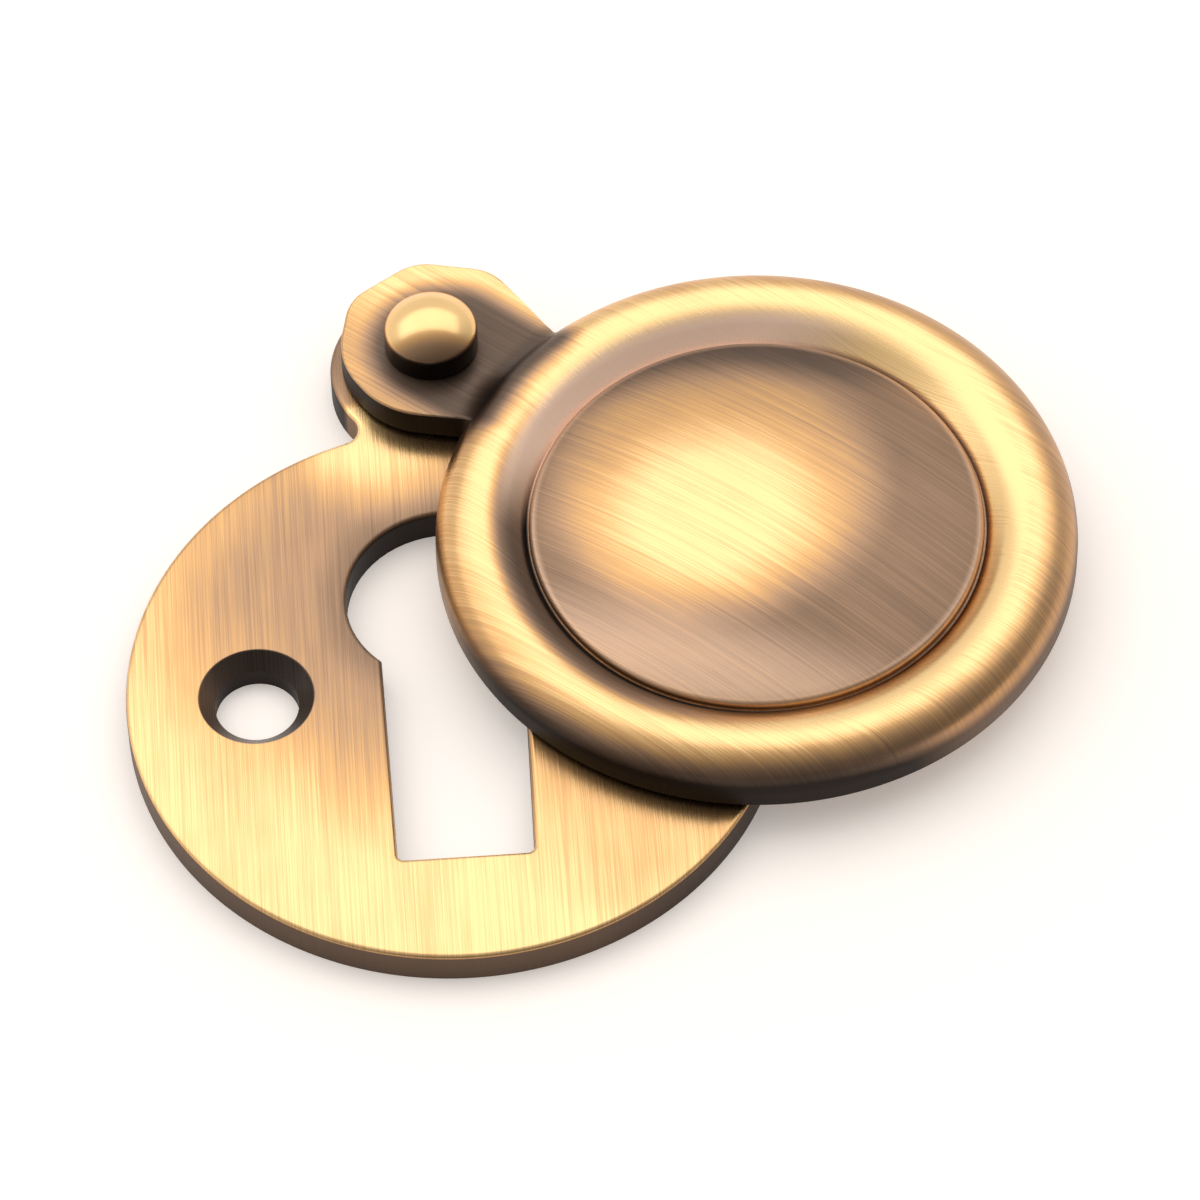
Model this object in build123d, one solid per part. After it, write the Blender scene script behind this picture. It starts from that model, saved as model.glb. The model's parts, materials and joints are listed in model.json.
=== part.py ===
from build123d import *
import os
from math import atan2, cos, degrees, hypot, radians, sin

# Covered keyhole escutcheon: a round plate with a keyhole, and a domed cover that swings on a rivet.
# Millimetres. The origin is the centre of the plate's back face, +Y runs to the ear and +Z out of the front.

# The plate
PLATE_RADIUS = 16.0
PLATE_THICKNESS = 1.8
PLATE_EAR_RADIUS = 5.15
PLATE_EDGE_ROUND = 0.25
PIVOT_Y = 19.8
PLATE_NECK_ROUND = 0.9

# The keyhole: a round top, and a slot that narrows a little towards its foot
KEY_ROUND_RADIUS = 5.04
KEY_ROUND_Y = 5.4
SLOT_NECK_WIDTH = 7.05
SLOT_FOOT_WIDTH = 6.55
SLOT_FOOT_Y = -10.1
SLOT_CORNER_ROUND = 0.35
KEY_EDGE_ROUND = 0.2

# The two screw holes, for countersunk wood screws
SCREW_SPACING = 19.3
SCREW_HOLE_RADIUS = 2.05
SCREW_SINK_RADIUS = 2.83
SCREW_SINK_ANGLE = 90.0

# The cover, measured up from its own underside
COVER_RADIUS = 15.8
COVER_GAP = 0.25
COVER_SWING = 50.7
RING_OUTER_ROUND = 2.02
RING_FOOT = 0.7
GROOVE_WIDTH = 0.1
GROOVE_FLOOR = 1.15
DOME_RADIUS = 11.2
DOME_EDGE = 1.8
DOME_EDGE_ROUND = 0.35
DOME_CROWN = 3.5

# The cover's ear: cast a little to one side of the rivet, filed to an eight-sided round, softer on its left
COVER_EAR_X = 0.43
COVER_EAR_Y = 19.72
COVER_EAR_FLAT = 4.85
COVER_EAR_SIDES = 8
COVER_EAR_TURN = 4.5
COVER_EAR_FILED_ROUND = 2.4
COVER_EAR_CAST_ROUND = 4.3
COVER_EAR_THICKNESS = 1.5
COVER_EAR_EDGE_ROUND = 0.2
COVER_EAR_ROOT = 14.7

# The ear's neck: a hollow on either side, and a ramp from the flat ear up to the ring
NECK_LENGTH = 4.0
NECK_RIGHT_HOLLOW = 0.45
NECK_LEFT_HOLLOW = 1.8
RAMP_FOOT = 16.64
RAMP_ROUND = 2.0
RAMP_SINK = 0.03

# The cored back of the cover
DOME_CORE_RADIUS = 10.0
DOME_CORE_DEPTH = 2.2
RING_CORE_WIDTH = 1.7
RING_CORE_DEPTH = 1.2

# The rivet
SHANK_RADIUS = 1.5
SHANK_CLEARANCE = 0.05
HEAD_RADIUS = 2.33
HEAD_WALL = 1.5
HEAD_CROWN = 0.9
HEAD_EDGE_ROUND = 0.2
HEAD_CLEARANCE = 0.1
TAIL_RADIUS = 2.1
TAIL_DEPTH = 0.6

UPRIGHT = (Align.CENTER, Align.CENTER, Align.MIN)
PIVOT = Pos(0, PIVOT_Y, 0)
MATCH = 0.001


def at(point, x, y):
    """Whether a corner of a flat outline lies at x, y."""
    return hypot(point.X - x, point.Y - y) < MATCH


def keyhole():
    """The outline of the keyhole, with the slot's two foot corners rounded."""
    foot, neck = SLOT_FOOT_WIDTH / 2, SLOT_NECK_WIDTH / 2
    sides = [(-foot, SLOT_FOOT_Y), (foot, SLOT_FOOT_Y), (neck, KEY_ROUND_Y), (-neck, KEY_ROUND_Y)]
    slot = make_face(Polyline(*sides, close=True))
    slot = fillet(slot.vertices().group_by(Axis.Y)[0], SLOT_CORNER_ROUND)
    return slot + Pos(0, KEY_ROUND_Y) * Circle(KEY_ROUND_RADIUS)


def rivet_hole_with_seat():
    """The hole in the plate's ear, with the seat at the back that the rivet's tail fills."""
    seat = Cone(TAIL_RADIUS, SHANK_RADIUS, TAIL_DEPTH, align=UPRIGHT)
    return PIVOT * (Cylinder(SHANK_RADIUS, PLATE_THICKNESS, align=UPRIGHT) + seat)


def make_back_plate():
    """The flat plate: disc and ear, rounded along the front, then pierced."""
    outline = Circle(PLATE_RADIUS) + PIVOT * Circle(PLATE_EAR_RADIUS)
    neck_y = (PIVOT_Y**2 + PLATE_RADIUS**2 - PLATE_EAR_RADIUS**2) / (2 * PIVOT_Y)
    outline = fillet([v for v in outline.vertices() if abs(v.Y - neck_y) < MATCH], PLATE_NECK_ROUND)
    plate = extrude(outline, PLATE_THICKNESS)
    plate = fillet(plate.faces().sort_by(Axis.Z)[-1].edges(), PLATE_EDGE_ROUND)
    plate -= extrude(keyhole(), PLATE_THICKNESS)
    mouth = plate.faces().sort_by(Axis.Z)[-1].inner_wires()[0]
    plate = fillet(mouth.edges(), KEY_EDGE_ROUND)
    screw_hole = CounterSinkHole(SCREW_HOLE_RADIUS, SCREW_SINK_RADIUS, PLATE_THICKNESS, SCREW_SINK_ANGLE)
    for side in (-1, 1):
        plate -= Pos(side * SCREW_SPACING / 2, 0, PLATE_THICKNESS) * screw_hole
    return plate - rivet_hole_with_seat()


def step(point, angle, length):
    """The point that lies a length away in a direction given in degrees."""
    return point[0] + length * cos(radians(angle)), point[1] + length * sin(radians(angle))


def hollow_corner(outline, reach, side):
    """The corner between the ear's right (1) or left (-1) side and the circle inside the ring."""
    on_circle = [v for v in outline.vertices() if abs(hypot(v.X, v.Y) - reach) < MATCH]
    return [v for v in on_circle if v.Y > 0 and v.X * side > 0]


def ear_outline(reach):
    """The ear from above: its first and last flats run on, through a hollow each, into a circle in the ring."""
    ear = (COVER_EAR_X, COVER_EAR_Y)
    eight = RegularPolygon(COVER_EAR_FLAT, COVER_EAR_SIDES, major_radius=False, rotation=COVER_EAR_TURN)
    filed = [v for v in eight.vertices() if v.X > -COVER_EAR_FLAT / 2]
    round_ear = fillet([v for v in eight.vertices() if v.X < -COVER_EAR_FLAT / 2], COVER_EAR_CAST_ROUND)
    sharp = [v for v in round_ear.vertices() if any(at(v, corner.X, corner.Y) for corner in filed)]
    round_ear = fillet(sharp, COVER_EAR_FILED_ROUND)
    half = 180 / COVER_EAR_SIDES
    first, last = COVER_EAR_TURN - half, COVER_EAR_TURN + 180 + half
    right, left = step(ear, first, COVER_EAR_FLAT), step(ear, last, COVER_EAR_FLAT)
    right_end, left_end = step(right, first - 90, NECK_LENGTH), step(left, last + 90, NECK_LENGTH)
    neck = make_face(Polyline(right, right_end, left_end, left, close=True))
    outline = Pos(*ear) * round_ear + neck + Circle(reach)
    outline = fillet(hollow_corner(outline, reach, 1), NECK_RIGHT_HOLLOW)
    return fillet(hollow_corner(outline, reach, -1), NECK_LEFT_HOLLOW)


def make_cover_ear(ring_r):
    """The ear: a flat tongue rounded along its upper edge, and the ramp that lifts it to the ring."""
    ramp_centre = (RAMP_FOOT, COVER_EAR_THICKNESS + RAMP_ROUND)
    lean = degrees(atan2(ramp_centre[1] - RING_FOOT, RAMP_FOOT - ring_r))
    ramp_top = step(ramp_centre, lean + 180, RAMP_ROUND)
    ramp_back, ramp_base = (COVER_EAR_ROOT, ramp_top[1]), COVER_EAR_THICKNESS / 2
    outline = ear_outline(ramp_top[0] - RAMP_SINK)
    tongue = extrude(outline - Circle(COVER_EAR_ROOT), COVER_EAR_THICKNESS)
    tongue = fillet(tongue.faces().sort_by(Axis.Z)[-1].outer_wire().edges(), COVER_EAR_EDGE_ROUND)
    section = make_face(
        [
            Line((COVER_EAR_ROOT, ramp_base), ramp_back),
            Line(ramp_back, ramp_top),
            TangentArc((RAMP_FOOT, COVER_EAR_THICKNESS), ramp_top, tangent=(-1, 0)),
            Line((RAMP_FOOT, COVER_EAR_THICKNESS), (RAMP_FOOT, ramp_base)),
            Line((RAMP_FOOT, ramp_base), (COVER_EAR_ROOT, ramp_base)),
        ]
    )
    inside = extrude(offset(outline, -COVER_EAR_EDGE_ROUND), ramp_top[1])
    return tongue + (inside & revolve(Plane.XZ * section, Axis.Z))


def make_swing_cover():
    """The cover as cast: dome and rounded ring turned in one section, and the ear grown out of the ring."""
    ring_r = COVER_RADIUS - RING_OUTER_ROUND
    crest = (ring_r, RING_FOOT + RING_OUTER_ROUND)
    groove_r = DOME_RADIUS + GROOVE_WIDTH
    core_in, core_out = ring_r - RING_CORE_WIDTH / 2, ring_r + RING_CORE_WIDTH / 2
    dome_corner = (DOME_RADIUS, DOME_EDGE)
    section = make_face(
        [
            TangentArc((0, DOME_CROWN), dome_corner, tangent=(1, 0)),
            Line(dome_corner, (DOME_RADIUS, GROOVE_FLOOR)),
            Line((DOME_RADIUS, GROOVE_FLOOR), (groove_r, GROOVE_FLOOR)),
            TangentArc(crest, (groove_r, GROOVE_FLOOR), tangent=(-1, 0)),
            TangentArc(crest, (COVER_RADIUS, RING_FOOT), tangent=(1, 0)),
            Line((COVER_RADIUS, RING_FOOT), (COVER_RADIUS, 0)),
            Line((COVER_RADIUS, 0), (core_out, 0)),
            ThreePointArc((core_out, 0), (ring_r, RING_CORE_DEPTH), (core_in, 0)),
            Line((core_in, 0), (DOME_CORE_RADIUS, 0)),
            TangentArc((0, DOME_CORE_DEPTH), (DOME_CORE_RADIUS, 0), tangent=(1, 0)),
            Line((0, DOME_CORE_DEPTH), (0, DOME_CROWN)),
        ]
    )
    section = fillet([v for v in section.vertices() if at(v, *dome_corner)], DOME_EDGE_ROUND)
    disc = revolve(Plane.XZ * section, Axis.Z)
    cover = disc + make_cover_ear(ring_r)
    return cover - PIVOT * Cylinder(SHANK_RADIUS + SHANK_CLEARANCE, COVER_EAR_THICKNESS, align=UPRIGHT)


def make_pivot_rivet():
    """The rivet: peened tail, shank and a tall domed head."""
    head_foot = PLATE_THICKNESS + COVER_GAP + COVER_EAR_THICKNESS + HEAD_CLEARANCE
    head_rim = (HEAD_RADIUS, head_foot + HEAD_WALL)
    top = head_foot + HEAD_WALL + HEAD_CROWN
    section = make_face(
        [
            Line((0, 0), (TAIL_RADIUS, 0)),
            Line((TAIL_RADIUS, 0), (SHANK_RADIUS, TAIL_DEPTH)),
            Line((SHANK_RADIUS, TAIL_DEPTH), (SHANK_RADIUS, head_foot)),
            Line((SHANK_RADIUS, head_foot), (HEAD_RADIUS, head_foot)),
            Line((HEAD_RADIUS, head_foot), head_rim),
            TangentArc((0, top), head_rim, tangent=(1, 0)),
            Line((0, top), (0, 0)),
        ]
    )
    section = fillet([v for v in section.vertices() if at(v, *head_rim)], HEAD_EDGE_ROUND)
    return PIVOT * revolve(Plane.XZ * section, Axis.Z)


def swung(cover):
    """The closed cover, lifted onto the plate and turned aside about the rivet."""
    lift = Pos(0, 0, PLATE_THICKNESS + COVER_GAP)
    return PIVOT * lift * Rot(0, 0, COVER_SWING) * Pos(0, -PIVOT_Y, 0) * cover


PARTS = {
    "back_plate": make_back_plate(),
    "swing_cover": swung(make_swing_cover()),
    "pivot_rivet": make_pivot_rivet(),
}

os.makedirs("parts", exist_ok=True)
for node, solid in PARTS.items():
    export_step(solid, f"parts/{node}.step")
    print(node, "volume", round(solid.volume, 1), "mm3")
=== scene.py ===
# %% [markdown]
# # A covered keyhole escutcheon in brushed antique brass
#
# An escutcheon is the plate round a keyhole. This one has three pieces: a flat plate that is screwed to
# the drawer, a domed cover that swings aside, and the rivet that it swings on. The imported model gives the
# sizes and the moving bodies. This lesson models each piece again as a fine, clean mesh, because polished
# and brushed metal shows every facet, and then gives it its finish.

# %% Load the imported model
import json
from collections import namedtuple
from math import asin, atan, atan2, cos, degrees, hypot, pi, radians, sin, sqrt, tan

import bmesh
import bpy
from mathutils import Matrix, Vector


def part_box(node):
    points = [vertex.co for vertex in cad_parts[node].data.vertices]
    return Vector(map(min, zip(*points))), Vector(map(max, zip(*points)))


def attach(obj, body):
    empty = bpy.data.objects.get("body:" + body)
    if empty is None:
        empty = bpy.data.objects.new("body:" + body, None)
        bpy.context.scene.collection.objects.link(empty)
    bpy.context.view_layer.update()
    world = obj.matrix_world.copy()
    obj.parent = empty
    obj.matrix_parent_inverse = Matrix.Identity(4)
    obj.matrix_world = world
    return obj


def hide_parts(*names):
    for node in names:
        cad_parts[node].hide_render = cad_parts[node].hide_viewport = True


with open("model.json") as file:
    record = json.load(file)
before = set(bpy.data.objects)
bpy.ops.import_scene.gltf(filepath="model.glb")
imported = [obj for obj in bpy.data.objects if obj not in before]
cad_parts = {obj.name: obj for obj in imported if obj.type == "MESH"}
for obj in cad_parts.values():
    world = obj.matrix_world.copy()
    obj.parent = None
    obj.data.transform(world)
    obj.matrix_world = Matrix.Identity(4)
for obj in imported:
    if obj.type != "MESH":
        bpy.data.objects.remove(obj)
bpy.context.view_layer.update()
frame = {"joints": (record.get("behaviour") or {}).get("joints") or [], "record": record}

# %% [markdown]
# ## The sizes that everything follows
#
# The frame is in metres, and small hardware is easier to think about in millimetres, so every size here
# is written in millimetres and multiplied once, where a point goes into a mesh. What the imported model
# knows is read from it: the plate's radius and thickness, the rivet's axis, the screw holes.

# %% Sizes from the frame
MM = 0.001
plate_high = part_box("back_plate")[1] / MM
cover_low, cover_high = (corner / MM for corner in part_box("swing_cover"))
rivet_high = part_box("pivot_rivet")[1] / MM
PIVOT_Y = frame["joints"][0]["pos_m"][1] / MM
PLATE_RADIUS = plate_high.x
PLATE_THICKNESS = plate_high.z
PLATE_EAR_RADIUS = plate_high.y - PIVOT_Y
COVER_FOOT = cover_low.z
COVER_CROWN = cover_high.z - cover_low.z
screws = next(m for m in frame["record"]["mounts"] if m["name"] == "screw_holes")["dims"]
SCREW_X = screws["spacing_x_mm"] / 2
SCREW_RADIUS = screws["hole_r_mm"]
print("plate radius", PLATE_RADIUS, "ear radius", round(PLATE_EAR_RADIUS, 3), "rivet at y", PIVOT_Y)

# %% [markdown]
# ## A pen that draws with edit-mode tools
#
# All three pieces start as an outline. By hand you would merge a plane to one point, extrude that point
# for a straight stroke and spin it for an arc. These helpers do just that, so an outline is a list of
# strokes, and an arc keeps its true centre and radius. Without a window, spin turns clockwise for a
# positive angle, so an anticlockwise turn gets a minus sign.

# %% The pen
FLAT = {"place": lambda u, v: Vector((u, v, 0)) * MM, "axis": (0, 0, 1)}
UPRIGHT = {"place": lambda u, v: Vector((u, 0, v)) * MM, "axis": (0, -1, 0)}


def new_piece(name):
    """An empty mesh object at the origin, in edit mode."""
    bpy.ops.object.select_all(action="DESELECT")
    bpy.ops.mesh.primitive_plane_add(size=MM)
    piece = bpy.context.object
    piece.name = name
    piece.data.name = name
    bpy.ops.object.mode_set(mode="EDIT")
    bpy.ops.mesh.select_mode(type="VERT")
    bpy.ops.mesh.delete(type="VERT")
    return piece


def draw(plane, start, strokes):
    """Draws lines and arcs from start. A line is ("line", end), an arc ("arc", centre, degrees, steps)."""
    bpy.ops.mesh.select_all(action="DESELECT")
    bpy.ops.mesh.primitive_plane_add(size=MM)
    bpy.ops.mesh.merge(type="CENTER")
    here = plane["place"](*start)
    bpy.ops.transform.translate(value=here)
    for stroke in strokes:
        if stroke[0] == "line":
            end = plane["place"](*stroke[1])
            bpy.ops.mesh.extrude_region_move(TRANSFORM_OT_translate={"value": end - here})
            here = end
        else:
            centre, turn, steps = stroke[1:]
            bpy.ops.mesh.spin(
                steps=steps, angle=-radians(turn), center=plane["place"](*centre), axis=plane["axis"]
            )
            here = last_point()


def last_point():
    """Where the pen is: the one selected vertex."""
    mesh = bmesh.from_edit_mesh(bpy.context.object.data)
    return next(v.co.copy() for v in mesh.verts if v.select)


def turn_point(point, centre, turn):
    """A point turned about a centre by some degrees."""
    u, v = point[0] - centre[0], point[1] - centre[1]
    c, s = cos(radians(turn)), sin(radians(turn))
    return centre[0] + u * c - v * s, centre[1] + u * s + v * c


def step_from(point, angle, length):
    """The point that lies a length away in a direction given in degrees."""
    return point[0] + length * cos(radians(angle)), point[1] + length * sin(radians(angle))


def angle_from(centre, point):
    """The direction of a point seen from a centre, in degrees."""
    return degrees(atan2(point[1] - centre[1], point[0] - centre[0]))


print("the pen turns (1, 0) about the origin to", [round(v, 3) for v in turn_point((1, 0), (0, 0), 90)])

# %% [markdown]
# ## Picking edges and faces
#
# By hand you click what a tool should act on. In code an edge or a face is picked by where it lies and by
# how the faces beside it look, so the choice stays right when a size changes. A bevel then rounds the
# edges that were picked. A last merge closes the surface and turns all of its faces outwards.

# %% Picking edges and faces
UPRIGHT_LIMIT = 0.01
FLAT_LIMIT = 0.99


def pick_edges(test):
    """Selects the edges of the mesh in edit mode that pass a test, and returns how many there are."""
    bpy.ops.mesh.select_mode(type="EDGE")
    bpy.ops.mesh.select_all(action="DESELECT")
    mesh = bmesh.from_edit_mesh(bpy.context.object.data)
    chosen = [e for e in mesh.edges if test(e)]
    for edge in chosen:
        edge.select_set(True)
    bmesh.update_edit_mesh(bpy.context.object.data)
    return len(chosen)


def pick_faces(test):
    """Selects the faces of the mesh in edit mode that pass a test, and returns how many there are."""
    bpy.ops.mesh.select_mode(type="FACE")
    bpy.ops.mesh.select_all(action="DESELECT")
    mesh = bmesh.from_edit_mesh(bpy.context.object.data)
    mesh.normal_update()
    chosen = [f for f in mesh.faces if test(f)]
    for face in chosen:
        face.select_set(True)
    bmesh.update_edit_mesh(bpy.context.object.data)
    return len(chosen)


def is_rim(edge, up):
    """Whether an edge joins an upright wall to a flat face that looks up (1) or down (-1)."""
    if len(edge.link_faces) != 2:
        return False
    has_wall = min(abs(f.normal.z) for f in edge.link_faces) < UPRIGHT_LIMIT
    return has_wall and any(f.normal.z * up > FLAT_LIMIT for f in edge.link_faces)


print("a wall leans by less than", round(degrees(asin(UPRIGHT_LIMIT)), 1), "degrees")

# %% Rounding, closing and a report
MERGE_REACH = 0.001


def round_edges(test, width, segments):
    """Bevels the edges that pass a test. One segment makes a flat chamfer."""
    count = pick_edges(test)
    bpy.ops.mesh.bevel(offset=width * MM, offset_type="OFFSET", segments=segments, affect="EDGES")
    return count


def close_surface():
    """Merges what meets and turns every face outwards."""
    bpy.ops.mesh.select_all(action="SELECT")
    bpy.ops.mesh.remove_doubles(threshold=MERGE_REACH * MM)
    bpy.ops.mesh.normals_make_consistent(inside=False)


def report(piece):
    """Prints a piece's triangles, open edges, box and volume."""
    mesh = bmesh.new()
    mesh.from_mesh(piece.data)
    loose = sum(1 for e in mesh.edges if len(e.link_faces) != 2)
    corners = [v.co / MM for v in mesh.verts]
    low = [round(min(c[i] for c in corners), 3) for i in range(3)]
    high = [round(max(c[i] for c in corners), 3) for i in range(3)]
    triangles = sum(len(f.verts) - 2 for f in mesh.faces)
    print(piece.name, "triangles", triangles, "open edges", loose, "from", low, "to", high)
    print(piece.name, "volume", round(mesh.calc_volume(signed=True) / MM**3, 1), "cubic mm")
    mesh.free()


print("points closer than", MERGE_REACH, "mm are merged")

# %% [markdown]
# ## The plate's outline
#
# The plate is stamped: a disc and a small round ear, joined by two tight hollow curves. The hollow curve
# touches both circles, so its centre lies where two larger circles cross. From that one point come all
# the angles. The keyhole is drawn the same way: a round, and a slot that narrows a little downwards. Its
# round has only 48 steps: with finer ones, the strip that is inset along it in the next step would cross
# itself where the round meets the slot.

# %% The plate's outer edge
PLATE_NECK_ROUND = 0.9
DISC_STEPS = 224
NECK_STEPS = 16
PLATE_EAR_STEPS = 80


def neck(radius, ear_centre, ear_radius, hollow, side):
    """The centre of the hollow curve between the disc and its ear, right (1) or left (-1)."""
    reach = hypot(*ear_centre)
    along = ((radius + hollow) ** 2 - (ear_radius + hollow) ** 2 + reach**2) / (2 * reach)
    across = side * sqrt((radius + hollow) ** 2 - along**2)
    ux, uy = ear_centre[0] / reach, ear_centre[1] / reach
    return ux * along + uy * across, uy * along - ux * across


def draw_plate_outline():
    """Disc, hollow, ear and hollow, anticlockwise from the left neck."""
    ear = (0, PIVOT_Y)
    hollow = neck(PLATE_RADIUS, ear, PLATE_EAR_RADIUS, PLATE_NECK_ROUND, 1)
    disc_angle, ear_angle = angle_from((0, 0), hollow), angle_from(ear, hollow)
    start = turn_point((PLATE_RADIUS, 0), (0, 0), 180 - disc_angle)
    hollow_turn = ear_angle - disc_angle
    draw(FLAT, start, [
        ("arc", (0, 0), 180 + 2 * disc_angle, DISC_STEPS),
        ("arc", hollow, hollow_turn, NECK_STEPS),
        ("arc", ear, 180 - 2 * ear_angle, PLATE_EAR_STEPS),
        ("arc", (-hollow[0], hollow[1]), hollow_turn, NECK_STEPS),
    ])


plate = new_piece("keyhole_plate")
draw_plate_outline()
print("plate's outer edge drawn with", len(bmesh.from_edit_mesh(plate.data).verts), "points")

# %% The keyhole and the round holes
KEY_ROUND_RADIUS = 5.04
KEY_ROUND_Y = 5.4
KEY_ROUND_STEPS = 48
SLOT_NECK_HALF = 3.525
SLOT_FOOT_HALF = 3.275
SLOT_FOOT_Y = -10.1
SLOT_CORNER_ROUND = 0.35
SLOT_CORNER_STEPS = 6
SCREW_STEPS = 96
SHANK_RADIUS = 1.5
SHANK_STEPS = 64


def draw_keyhole():
    """Foot, right side, round and left side, anticlockwise."""
    lean = (SLOT_NECK_HALF - SLOT_FOOT_HALF) / (KEY_ROUND_Y - SLOT_FOOT_Y)
    corner_turn = 90 - degrees(atan(lean))
    corner_x = SLOT_FOOT_HALF - SLOT_CORNER_ROUND * tan(radians(corner_turn / 2))
    corner_y = SLOT_FOOT_Y + SLOT_CORNER_ROUND
    half = SLOT_NECK_HALF * lean
    spread = half**2 - (1 + lean**2) * (SLOT_NECK_HALF**2 - KEY_ROUND_RADIUS**2)
    below = -(half + sqrt(spread)) / (1 + lean**2)
    meet = (SLOT_NECK_HALF + lean * below, KEY_ROUND_Y + below)
    meet_angle = angle_from((0, KEY_ROUND_Y), meet)
    left_side = turn_point((-corner_x, SLOT_FOOT_Y), (-corner_x, corner_y), -corner_turn)
    draw(FLAT, (-corner_x, SLOT_FOOT_Y), [
        ("line", (corner_x, SLOT_FOOT_Y)),
        ("arc", (corner_x, corner_y), corner_turn, SLOT_CORNER_STEPS),
        ("line", meet),
        ("arc", (0, KEY_ROUND_Y), 180 - 2 * meet_angle, KEY_ROUND_STEPS),
        ("line", left_side),
        ("arc", (-corner_x, corner_y), corner_turn, SLOT_CORNER_STEPS),
    ])


def draw_circle(x, y, radius, steps):
    """A round hole's outline."""
    draw(FLAT, (x + radius, y), [("arc", (x, y), 360, steps)])


draw_keyhole()
for side in (-1, 1):
    draw_circle(side * SCREW_X, 0, SCREW_RADIUS, SCREW_STEPS)
draw_circle(0, PIVOT_Y, SHANK_RADIUS, SHANK_STEPS)
close_surface()
print("plate outline drawn with", len(bmesh.from_edit_mesh(plate.data).verts), "points")

# %% [markdown]
# ## From outline to plate
#
# Fill knows that an outline inside another one is a hole. The filled face is extruded by the plate's
# thickness. A narrow inset along every edge then gives the bevels a clean strip of quads to bite into:
# without it they would follow the long triangles of the fill.

# %% Thickness and a strip along the edges
STRIP = 1.0


def strip_along_edges(up):
    """Insets the flat face that looks up (1) or down (-1) and fills the middle afresh."""
    pick_faces(lambda f: f.normal.z * up > FLAT_LIMIT)
    bpy.ops.mesh.inset(thickness=STRIP * MM, use_boundary=True, use_even_offset=True)
    bpy.ops.mesh.delete(type="FACE")
    pick_edges(lambda e: len(e.link_faces) == 1)
    bpy.ops.mesh.fill(use_beauty=True)
    close_surface()


bpy.ops.mesh.select_all(action="SELECT")
bpy.ops.mesh.fill(use_beauty=True)
bpy.ops.mesh.extrude_region_move(TRANSFORM_OT_translate={"value": (0, 0, PLATE_THICKNESS * MM)})
close_surface()
strip_along_edges(1)
strip_along_edges(-1)
print("plate extruded to", len(bmesh.from_edit_mesh(plate.data).faces), "faces")

# %% [markdown]
# ## Rounded edges and countersinks
#
# The stamp leaves a soft edge round the plate and the keyhole, and a drill widens the screw holes. All of
# them are bevels on edges that are picked by their place. One bevel segment is a chamfer, and a chamfer as
# wide as it is deep is exactly the 90 degree seat of a countersunk screw. The rivet's tail has such a seat
# at the back.

# %% Rounded edges and countersinks
PLATE_EDGE_ROUND = 0.25
KEY_EDGE_ROUND = 0.28
EDGE_SEGMENTS = 4
SCREW_SINK = 0.78
TAIL_SEAT = 0.6
KEY_REACH = 0.5
SCREW_REACH = 3.5
RIVET_REACH = 3.0


def middle(edge):
    """The middle of an edge, in millimetres."""
    return (edge.verts[0].co + edge.verts[1].co) / (2 * MM)


def near(point, x, y, reach):
    """Whether a point lies within reach of an upright axis."""
    return hypot(point.x - x, point.y - y) < reach


def in_keyhole(point):
    """Whether a point belongs to the keyhole's edge."""
    beside_slot = abs(point.x) < SLOT_NECK_HALF + KEY_REACH
    in_slot = beside_slot and SLOT_FOOT_Y - KEY_REACH < point.y < KEY_ROUND_Y
    return in_slot or near(point, 0, KEY_ROUND_Y, KEY_ROUND_RADIUS + KEY_REACH)


def at_screw(point):
    """Whether a point belongs to a screw hole's edge."""
    return near(point, SCREW_X, 0, SCREW_REACH) or near(point, -SCREW_X, 0, SCREW_REACH)


def at_rivet(point):
    """Whether a point belongs to the rivet hole's edge."""
    return near(point, 0, PIVOT_Y, RIVET_REACH)


def on_outline(point):
    """Whether a point belongs to the plate's outer edge."""
    return not (in_keyhole(point) or at_screw(point) or at_rivet(point))


edge_count = round_edges(lambda e: is_rim(e, 1) and on_outline(middle(e)), PLATE_EDGE_ROUND, EDGE_SEGMENTS)
mouth_count = round_edges(lambda e: is_rim(e, 1) and in_keyhole(middle(e)), KEY_EDGE_ROUND, EDGE_SEGMENTS)
sink_count = round_edges(lambda e: is_rim(e, 1) and at_screw(middle(e)), SCREW_SINK, 1)
seat_count = round_edges(lambda e: is_rim(e, -1) and at_rivet(middle(e)), TAIL_SEAT, 1)
close_surface()
bpy.ops.object.mode_set(mode="OBJECT")
print("rounded edges", edge_count, "keyhole", mouth_count, "countersinks", sink_count, "seat", seat_count)
report(plate)

# %% [markdown]
# ## The cover's turned section
#
# Dome, groove and ring are one casting, finished on a lathe, so half of the section is drawn and spun
# about its axis. The dome is a shallow slice of a sphere: from its rise and its radius follows the
# sphere's radius. A small round eases the dome into a low wall. The ring is round outside. Inside, a
# wider round leads from its crest to a straight slope, and the slope runs down to a fine groove along that
# wall. The back is cored out, as a caster would do to save metal. The cover is modelled shut, with its
# centre on the plate's axis.

# %% The cover's sizes
COVER_RADIUS = 15.8
RING_OUTER_ROUND = 2.02
RING_MIDDLE = COVER_RADIUS - RING_OUTER_ROUND
RING_FOOT = 0.7
RING_CREST = RING_FOOT + RING_OUTER_ROUND
SLOPE_LEAN = radians(41)
GROOVE_WIDTH = 0.1
GROOVE_FLOOR = 1.4
DOME_RADIUS = 11.2
DOME_EDGE = 1.8
DOME_EDGE_ROUND = 0.35
DOME_CORE_RADIUS = 10.0
DOME_CORE_DEPTH = 2.2
RING_CORE_HALF = 0.85
RING_CORE_DEPTH = 1.2
print("the ring's crest runs at", round(RING_MIDDLE, 2), "mm from the axis and is", RING_CREST, "mm high")

# %% The cover's section
DOME_STEPS = 26
EASE_STEPS = 7
CREST_STEPS = 12
RING_STEPS = 22
CORE_STEPS = 14
TURN_STEPS = 288


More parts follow.
